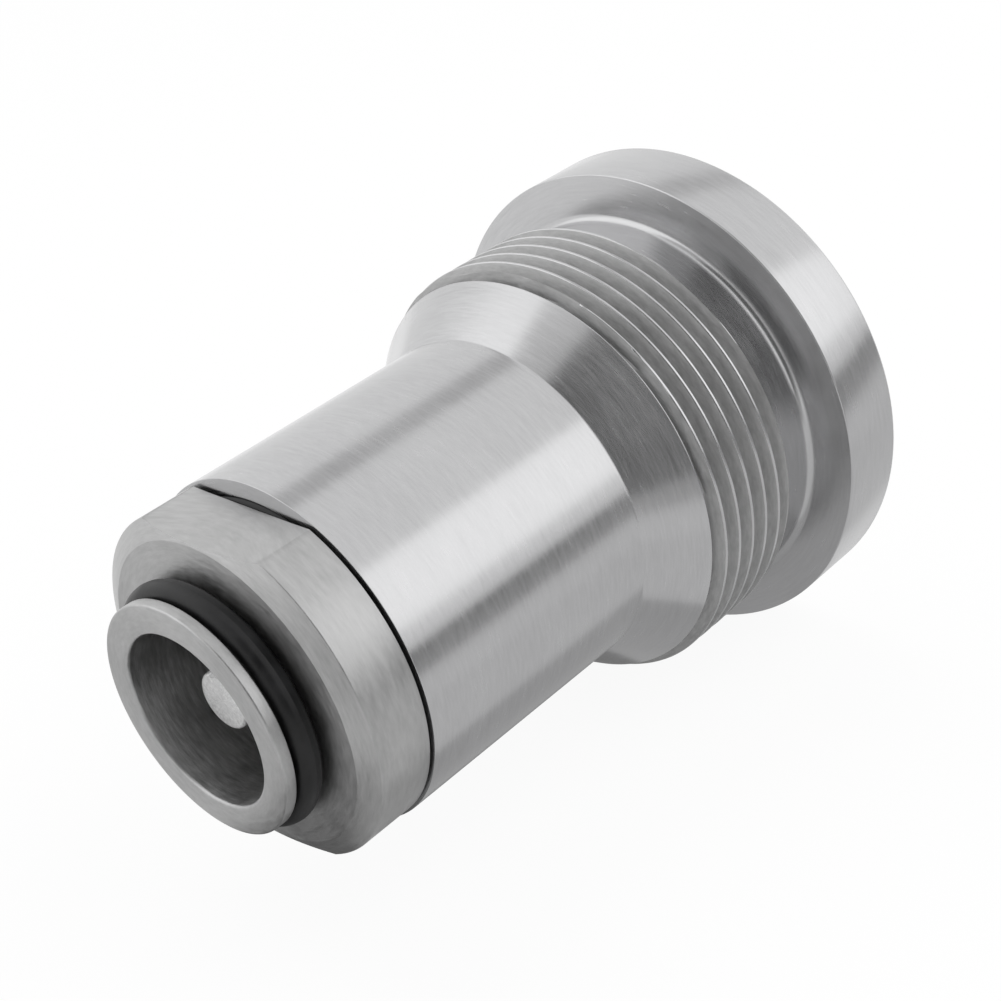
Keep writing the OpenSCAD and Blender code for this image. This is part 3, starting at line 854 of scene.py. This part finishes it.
    def trim(self, thread: Piece) -> None:
        """Trims the helix to its chamfered ends, so that both rims are true circles.

        Args:
            thread: The swept helix.
        """
        low, high = self.thread_start, self.thread_end
        for vertex in thread.data.vertices:
            place = vertex.co.x / MM - ZERO_X
            across = Vector((0.0, vertex.co.y, vertex.co.z))
            held = min(max(place, low), high)
            rise = min((held - low - self.start_gap) * self.start_slope,
                       (high - held) * self.end_slope)
            limit = self.root_r + rise
            radius = min(across.length / MM, max(limit, self.root_r))
            if place != held:
                radius = self.root_r
            vertex.co = across.normalized() * (radius * MM)
            vertex.co.x = (held + ZERO_X) * MM

    def mark_flanks(self, body: Piece) -> None:
        """Gives the thread's flanks the rougher material, whose darker colour is painted shade.

        Args:
            body: The joined body.
        """
        low = (self.thread_start + ZERO_X) * MM
        high = (self.thread_end + ZERO_X) * MM
        crest = (self.thread_r - self.crest_margin) * MM
        inner = (self.relief_r - self.relief_margin) * MM
        for face in body.data.polygons:
            radius = math.hypot(face.center.y, face.center.z)
            if low < face.center.x < high and inner < radius < crest:
                face.material_index = 1


@dataclass
class NoseAdapter(Assembly):
    """Nose with its ring groove, wrench collar with two flats, and hollow spigot."""

    rim_r: float = 10.85
    rim_w: float = 1.1
    bore_r: float = 8.1
    groove_r: float = 9.15
    groove_w: float = 3.1
    collar_r: float = 16.25
    collar_w: float = 6.3
    face_r: float = 14.35
    chamfer_w: float = 0.9
    flat_h: float = 14.5
    spigot_r: float = 14.0
    spigot_l: float = 9.0
    spigot_bore_r: float = 11.5
    relief_r: float = 13.1
    bore_margin: float = 0.05
    ring_gap: float = 0.03
    # Nose ring: half its thickness, points round its section, half the width of its flash
    nose_ring_h: float = 1.2
    nose_ring_points: int = 40
    flash_w: float = 0.06
    # Joint ring: its seat's width, its outer radius, its rounding
    ring_w: float = 2.4
    joint_ring_r: float = 14.92
    joint_ring_rounding: float = 0.6

    @property
    def tip(self) -> float:
        """Place of the nose's end face."""
        return -(self.collar_w + self.groove_w + self.rim_w)

    def build(self) -> None:
        """Builds and dresses the adapter and the two rings on it."""
        adapter = Workshop.turn("adapter_turned", self.outline(), steps=OUTER_STEPS)
        for side in (-1, 1):
            Workshop.plane_cut(adapter, Vector((0, 0, side * self.flat_h * MM)),
                               Vector((0, 0, side)))
        # Faces inside the bore get the material with painted shade
        for face in adapter.data.polygons:
            radius = math.hypot(face.center.y, face.center.z) / MM
            face.material_index = 1 if radius < self.bore_r + self.bore_margin else 0
        Workshop.hand_over(adapter, Body.ROOT.value, Slot.DULL,
                           [self.finishes.dull, self.finishes.bore], ["end_adapter"])
        self.build_nose_ring()
        self.build_joint_ring()

    def outline(self) -> list[Corner]:
        """Outline of the adapter before its flats are cut.

        Returns:
            Its corners.
        """
        return [
            (self.bore_r, self.tip, 0.3),
            (self.rim_r, self.tip, 0.18),
            (self.rim_r, self.tip + self.rim_w, 0.1),
            (self.groove_r, self.tip + self.rim_w, 0.15),
            (self.groove_r, -self.collar_w, 0.2),
            (self.face_r, -self.collar_w, 0.12),
            (self.collar_r, -self.collar_w + self.chamfer_w, 0.15),
            (self.collar_r, 0, 0.04),
            (self.relief_r, 0, 0.1),
            (self.relief_r, self.ring_w, 0),
            (self.spigot_r, self.ring_w, 0.3),
            (self.spigot_r, self.spigot_l, 0.3),
            (self.spigot_bore_r, self.spigot_l, 0.3),
            (self.spigot_bore_r, 0, 0),
            (self.bore_r, 0, 0)]

    def build_nose_ring(self) -> None:
        """Builds the fat round ring behind the rim, with its moulding flash."""
        middle_r = self.groove_r + self.ring_gap + self.nose_ring_h
        middle = -self.collar_w - self.groove_w / 2
        # The two points beside the outermost one come close to it, which leaves a thin ridge
        beside = {1: self.flash_w, self.nose_ring_points - 1: -self.flash_w}
        corners: list[Corner] = []
        for k in range(self.nose_ring_points):
            angle = math.tau * k / self.nose_ring_points
            place = beside.get(k, self.nose_ring_h * math.sin(angle))
            corners.append((middle_r + self.nose_ring_h * math.cos(angle), middle + place, 0))
        ring = Workshop.turn("nose_ring_moulded", corners, steps=OUTER_STEPS)
        Workshop.hand_over(ring, Body.ROOT.value, Slot.RUBBER, [self.finishes.rubber],
                           ["nose_o_ring"])

    def build_joint_ring(self) -> None:
        """Builds the squeezed ring that shows as the dark line under the collar."""
        inner, outer = self.relief_r + self.ring_gap, self.joint_ring_r
        start, end = self.ring_gap, self.ring_w - self.ring_gap
        ring = Workshop.turn("joint_ring_squeezed", [
            (radius, place, self.joint_ring_rounding) for radius, place in (
                (inner, start), (outer, start), (outer, end), (inner, end))],
            steps=OUTER_STEPS)
        Workshop.hand_over(ring, Body.ROOT.value, Slot.RUBBER, [self.finishes.rubber],
                           ["joint_o_ring"])


@dataclass
class ValveGuide(Assembly):
    """Blunt hub that shows in the nose, and the webs and flange that carry it."""

    hub_r: float = 2.7
    tip: float = -7.4
    end_w: float = 1.3
    mouth: float = 9.32
    stem_gap_r: float = 1.55
    boss_r: float = 4.3
    boss_w: float = 1.4
    web_w: float = 2.0
    web_root: float = 1.7
    web_reach: float = 7.9
    web_turns: Triple = (60, 180, 300)
    foot_reach: float = 1.0
    web_ends: Range = (-1.0, 3.0)
    flange: Range = (0.03, 1.4)
    flange_radii: Range = (8.5, 11.45)
    facet: Triple = (-0.60, 0.17, 0.78)
    facet_depth: float = 3.42
    steps: int = 96

    def build(self) -> None:
        """Builds and dresses the guide."""
        hub = self.hub()
        rim, outside = self.flange_radii
        start, end = self.flange
        ring = Workshop.turn("guide_ring", [
            (rim, start, 0.1), (outside, start, 0.2), (outside, end, 0.1), (rim, end, 0.1)])
        Workshop.combine(hub, ring, "UNION")
        half = self.web_w / 2
        for turn in self.web_turns:
            web = Workshop.block("guide_web", (self.web_ends[0], -half, self.web_root),
                                 (self.web_ends[1], half, self.web_reach), turn)
            Workshop.combine(hub, web, "UNION")
            foot = Workshop.block("guide_web_foot", (start, -half, self.web_root),
                                  (end, half, rim + self.foot_reach), turn)
            Workshop.combine(hub, foot, "UNION")
        Workshop.deburr(hub)
        Workshop.hand_over(hub, Body.ROOT.value, Slot.GROUND, [self.finishes.hub],
                           ["valve_guide"])

    def hub(self) -> Piece:
        """Turns the hub with its blind bore, and strikes a facet on its blunt end.

        Returns:
            The hub.
        """
        boss = self.web_ends[1]
        hub = Workshop.turn("guide_hub_forged", [
            (0, self.tip, 0), (self.hub_r, self.tip, 0.3),
            (self.hub_r, boss, 0), (self.boss_r, boss, 0.1),
            (self.boss_r, boss + self.boss_w, 0.4), (self.hub_r, boss + self.boss_w, 0),
            (self.hub_r, self.mouth, 0.3), (self.stem_gap_r, self.mouth, 0),
            (self.stem_gap_r, self.tip + self.end_w, 0), (0, self.tip + self.end_w, 0)],
            closed=False, steps=self.steps)
        out = Vector(self.facet).normalized()
        centre = station(0, self.tip + self.hub_r)
        Workshop.plane_cut(hub, centre + out * (self.facet_depth * MM), out)
        return hub


@dataclass(frozen=True)
class CoilSpring:
    """A round wire wound into a coil whose first and last turn lie closed."""

    node: str
    wire: float
    turns: float
    steps: int = 48

    @property
    def ends(self) -> Range:
        """Places of the coil's two ends, as its CAD node has them."""
        low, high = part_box(self.node)
        return low.x / MM - ZERO_X, high.x / MM - ZERO_X

    def place(self, turn: float) -> float:
        """Place of the wire's middle line after so many turns."""
        low, high = self.ends
        pitch = (high - low - 3 * self.wire) / (self.turns - 2)
        if turn < 1:
            return low + self.wire * (0.5 + turn)
        if turn > self.turns - 1:
            return high - self.wire * (0.5 + self.turns - turn)
        return low + 1.5 * self.wire + pitch * (turn - 1)

    def length(self, name: str, first: float, last: float) -> Piece:
        """Winds one length of the spring.

        Args:
            name: Name of the new object.
            first: Turn where it begins.
            last: Turn where it ends.

        Returns:
            The wound wire.
        """
        middle_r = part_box(self.node)[1].z / MM - self.wire / 2
        count = round((last - first) * self.steps)
        turns = [first + (last - first) * k / count for k in range(count + 1)]
        chain = [Matrix.Rotation(math.tau * turn, 3, "X") @ station(middle_r, self.place(turn))
                 for turn in turns]
        return Workshop.wind(name, chain, self.wire)

    @staticmethod
    def shorten(piece: Piece, joint: str, low: float, high: float,
                travel: float) -> None:
        """Gives a length of spring its own copy of its mesh.

        Args:
            piece: The wound wire.
            joint: The joint; not used.
            low: Place of the end that stays; not used.
            high: Place of the end that follows; not used.
            travel: How far the joint moves it, in mm; not used.
        """
        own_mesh(piece)


@dataclass
class Springs(Assembly):
    """The two coil springs that shorten when a plug goes in."""

    rear: CoilSpring = CoilSpring("rear_spring", 1.5, 4.5)
    valve: CoilSpring = CoilSpring("poppet_spring", 1.1, 6.5)
    socket_travel: float = 4.0
    poppet_travel: float = 6.0
    # Share of the valve spring's turns in its first length
    valve_split: float = 0.42

    def build(self) -> None:
        """Builds and dresses both springs."""
        low, high = self.rear.ends
        rear = self.rear.length("rear_spring_wound", 0, self.rear.turns)
        Workshop.hand_over(rear, Body.ROOT.value, Slot.SPRING, [self.finishes.spring],
                           [self.rear.node])
        self.rear.shorten(rear, "socket_slide", low, high, self.socket_travel)
        # The valve's spring is wound in two lengths: its first turns ride on the root, its
        # others on the socket
        low, high = self.valve.ends
        split = self.valve.turns * self.valve_split
        middle = self.valve.place(split)
        first = self.valve.length("poppet_spring_rear_turns", 0, split)
        Workshop.hand_over(first, Body.ROOT.value, Slot.SPRING, [self.finishes.spring],
                           [self.valve.node])
        self.valve.shorten(first, "socket_slide", low, middle, self.socket_travel)
        last = self.valve.length("poppet_spring_front_turns", split, self.valve.turns)
        Workshop.hand_over(last, Body.SOCKET.value, Slot.SPRING, [self.finishes.spring], [])
        self.valve.shorten(last, "poppet_slide", middle, high, self.poppet_travel)


@dataclass(frozen=True)
class Panel:
    """A glowing panel, seen only in the object's reflections. Its sizes are in metres."""

    name: str
    glow: float
    ends: Range

    def place(self) -> Matrix:
        """Works out where a unit plane goes to become this panel."""
        raise NotImplementedError

    def build(self) -> None:
        """Puts the panel up."""
        card = Workshop.plane(self.name, 1.0)
        card.data.transform(self.place())
        material, tree = blank_material(self.name)
        emission = add_node(tree, "ShaderNodeEmission", inputs={
            "Color": WHITE, "Strength": self.glow})
        card.data.materials.append(surfaced(material, emission))
        card.visible_camera = False
        card.visible_diffuse = False
        card.visible_shadow = False
        card.visible_transmission = False


@dataclass(frozen=True)
class Card(Panel):
    """A panel along the axis, between its two ends.

    Its azimuth turns about the axis, from 0 overhead towards +Y, and its spread is the angle
    that it takes up there. Both are in degrees.
    """

    azimuth: float
    spread: float
    distance: float = 0.5

    def place(self) -> Matrix:
        """Works out where a unit plane goes to become this panel."""
        turn = Matrix.Rotation(math.radians(-self.azimuth), 4, "X")
        width = 2 * self.distance * math.tan(math.radians(self.spread / 2))
        size = Matrix.Diagonal((self.ends[1] - self.ends[0], width, 1, 1))
        centre = Matrix.Translation((sum(self.ends) / 2, 0, self.distance))
        return turn @ centre @ size


@dataclass(frozen=True)
class FloorCard(Panel):
    """A panel that lies on the floor, with its ends along X and its sides along Y."""

    sides: Range
    height: float = -0.0239

    def place(self) -> Matrix:
        """Works out where a unit plane goes to become this panel."""
        near, far = self.sides
        size = Matrix.Diagonal((self.ends[1] - self.ends[0], far - near, 1, 1))
        return Matrix.Translation((sum(self.ends) / 2, (near + far) / 2, self.height)) @ size


@dataclass(frozen=True)
class EndCard(Panel):
    """A panel square to the axis, with its ends along Z and its sides along Y."""

    sides: Range
    distance: float = -0.45

    def place(self) -> Matrix:
        """Works out where a unit plane goes to become this panel."""
        near, far = self.sides
        bottom, top = self.ends
        turn = Matrix.Rotation(math.radians(90), 4, "Y")
        size = Matrix.Diagonal((top - bottom, far - near, 1, 1))
        centre = Matrix.Translation((self.distance, (near + far) / 2, (bottom + top) / 2))
        return centre @ turn @ size


@dataclass(frozen=True)
class Lamp:
    """A soft area lamp, aimed at the object. Its sizes are in metres, its power in watts."""

    name: str
    toward: Triple
    distance: float
    width: float
    height: float
    power: float

    def build(self) -> None:
        """Hangs the lamp."""
        data = bpy.data.lights.new(self.name, "AREA")
        data.shape = "RECTANGLE"
        data.size, data.size_y, data.energy = self.width, self.height, self.power
        lamp = bpy.data.objects.new(self.name, data)
        aim = Vector(self.toward).normalized()
        lamp.location = aim * self.distance
        lamp.rotation_mode = "QUATERNION"
        lamp.rotation_quaternion = aim.to_track_quat("Z", "Y")
        lamp.visible_glossy = False
        bpy.context.scene.collection.objects.link(lamp)


@dataclass
class Studio:
    """Floor, surroundings, lamps and camera."""

    floor_z: float = -24.12
    floor_size: float = 6.0
    floor_colour: str = "#F2F2F2"
    floor_fade: float = 0.93
    camera_place: Triple = (-94.44, -107.69, 84.21)
    camera_right: Triple = (0.66327, -0.73141, -0.15853)
    camera_up: Triple = (0.46484, 0.23661, 0.85320)
    camera_back: Triple = (-0.58652, -0.63959, 0.49692)
    lens: float = 65.58
    sensor: float = 36.0
    clip: Range = (0.01, 20.0)
    surroundings: float = 0.55

    def build(self) -> None:
        """Builds the studio."""
        scene = bpy.context.scene
        scene.view_settings.view_transform = "Standard"
        self.build_camera(scene)
        self.build_world(scene)
        self.build_floor()
        self.build_lamps()

    def build_camera(self, scene: bpy.types.Scene) -> None:
        """Puts the camera at the photograph's viewpoint.

        Args:
            scene: The scene.
        """
        data = bpy.data.cameras.new("camera")
        data.lens = self.lens
        data.sensor_width = self.sensor
        data.clip_start, data.clip_end = self.clip
        camera = bpy.data.objects.new("camera", data)
        scene.collection.objects.link(camera)
        columns = (self.camera_right, self.camera_up, self.camera_back,
                   [c * MM for c in self.camera_place])
        rows = [[column[i] for column in columns] for i in range(3)]
        camera.matrix_world = Matrix(rows + [[0, 0, 0, 1]])
        scene.camera = camera

    @staticmethod
    def seen_directly(tree: Tree) -> Socket:
        """Gives 1 for a ray from the camera, a reflection or a transmission, and else 0."""
        path = add_node(tree, "ShaderNodeLightPath")
        seen = calculated(tree, "MAXIMUM", path.outputs["Is Camera Ray"],
                          path.outputs["Is Glossy Ray"])
        return calculated(tree, "MAXIMUM", seen, path.outputs["Is Transmission Ray"])

    def build_world(self, scene: bpy.types.Scene) -> None:
        """Gives surroundings that look white and light the object more softly.

        Args:
            scene: The scene.
        """
        world = bpy.data.worlds.new("studio")
        scene.world = world
        world.use_nodes = True
        tree = world.node_tree
        tree.nodes.clear()
        strength = remapped(tree, self.seen_directly(tree), (0, 1), (self.surroundings, 1.0))
        background = add_node(tree, "ShaderNodeBackground", inputs={
            "Color": WHITE, "Strength": strength})
        add_node(tree, "ShaderNodeOutputWorld", inputs={"Surface": background.outputs[0]})

    def build_floor(self) -> None:
        """Lays a pale floor that fades to white but keeps the object's shadow."""
        floor = Workshop.plane("floor", self.floor_size)
        floor.data.transform(Matrix.Translation((0, 0, self.floor_z * MM)))
        material, tree = blank_material("pale_floor")
        diffuse = add_node(tree, "ShaderNodeBsdfDiffuse", inputs={
            "Color": linear(self.floor_colour)})
        white = add_node(tree, "ShaderNodeEmission", inputs={"Color": WHITE, "Strength": 1.0})
        share = remapped(tree, self.seen_directly(tree), (0, 1), (0.0, self.floor_fade))
        mix = add_node(tree, "ShaderNodeMixShader", inputs={
            0: share, 1: diffuse.outputs[0], 2: white.outputs[0]})
        floor.data.materials.append(surfaced(material, mix))

    def build_lamps(self) -> None:
        """Hangs the soft lamps and puts up the cards."""
        for light in (
            Lamp("key_softbox", (0.3, -0.6, 0.75), 0.6, 0.4, 0.4, 1.6),
            Lamp("top_softbox", (0.1, 0.5, 0.9), 0.6, 0.5, 0.5, 1.6),
            Card("horizon_flag", 0.14, (-0.02, 1.2), -96, 15),
            Card("front_softbox", 1.45, (0.02, 1.2), -57, 38, 0.55),
            Card("top_flag", 0.62, (0.0, 1.2), 23, 15),
            Card("camera_flag", 0.14, (-1.2, -0.12), -50, 84),
            Card("cone_softbox", 1.45, (-0.9, -0.02), 44, 52),
            Card("cone_shade", 0.55, (-0.6, -0.15), 4, 26),
            FloorCard("rear_floor_card", 1.15, (-0.03, 0.6), (0.026, 0.4)),
            FloorCard("belly_card", 0.25, (-0.02, 0.03), (-0.006, 0.026)),
            FloorCard("under_card", 0.47, (-0.06, 0.034), (-0.024, -0.006)),
            FloorCard("under_flange_card", 0.85, (0.034, 0.12), (-0.024, -0.006)),
            FloorCard("side_card", 0.7, (-0.06, 0.12), (-0.06, -0.024)),
            FloorCard("front_floor_card", 0.76, (-0.06, 0.2), (-0.125, -0.06)),
            FloorCard("horizon_floor_flag", 0.36, (0.0, 0.9), (-1.2, -0.125)),
            FloorCard("nose_floor_card", 0.5, (-1.2, 0.0), (-1.2, -0.125)),
            FloorCard("collar_flag", 0.15, (-0.055, -0.022), (-0.006, 0.0115)),
            FloorCard("chamfer_floor_card", 0.45, (-0.44, -0.08), (-0.05, 0.0)),
            EndCard("chamfer_flag", 0.3, (-0.024, 0.04), (-0.08, 0.13)),
            FloorCard("face_floor_card", 0.72, (-0.16, -0.036), (0.0115, 0.1)),
        ):
            light.build()


def dress_nodes(finishes: Finishes) -> None:
    """Gives each CAD node the finish of its slot.

    Args:
        finishes: The materials.
    """
    by_slot = {Slot.TURNED: finishes.turned, Slot.DULL: finishes.dull,
               Slot.GROUND: finishes.ground, Slot.SPRING: finishes.spring,
               Slot.BALL: finishes.ball, Slot.RUBBER: finishes.rubber, Slot.PTFE: finishes.ptfe}
    for part in frame["record"]["subparts"]:
        node = frame["nodes"][part["node"]]
        node.data.materials.clear()
        node.data.materials.append(by_slot[Slot(part["material_slot"])])


def main() -> None:
    """Builds the studio and the pieces."""
    logging.basicConfig(level=logging.INFO, format="%(name)s %(message)s")
    Studio().build()
    finishes = Finishes.build()
    dress_nodes(finishes)
    for assembly in (ThreadedBody, NoseAdapter, ValveGuide, Springs):
        assembly(finishes).build()
        LOG.info("%s done", assembly.__name__)


if __name__ == "__main__":
    main()
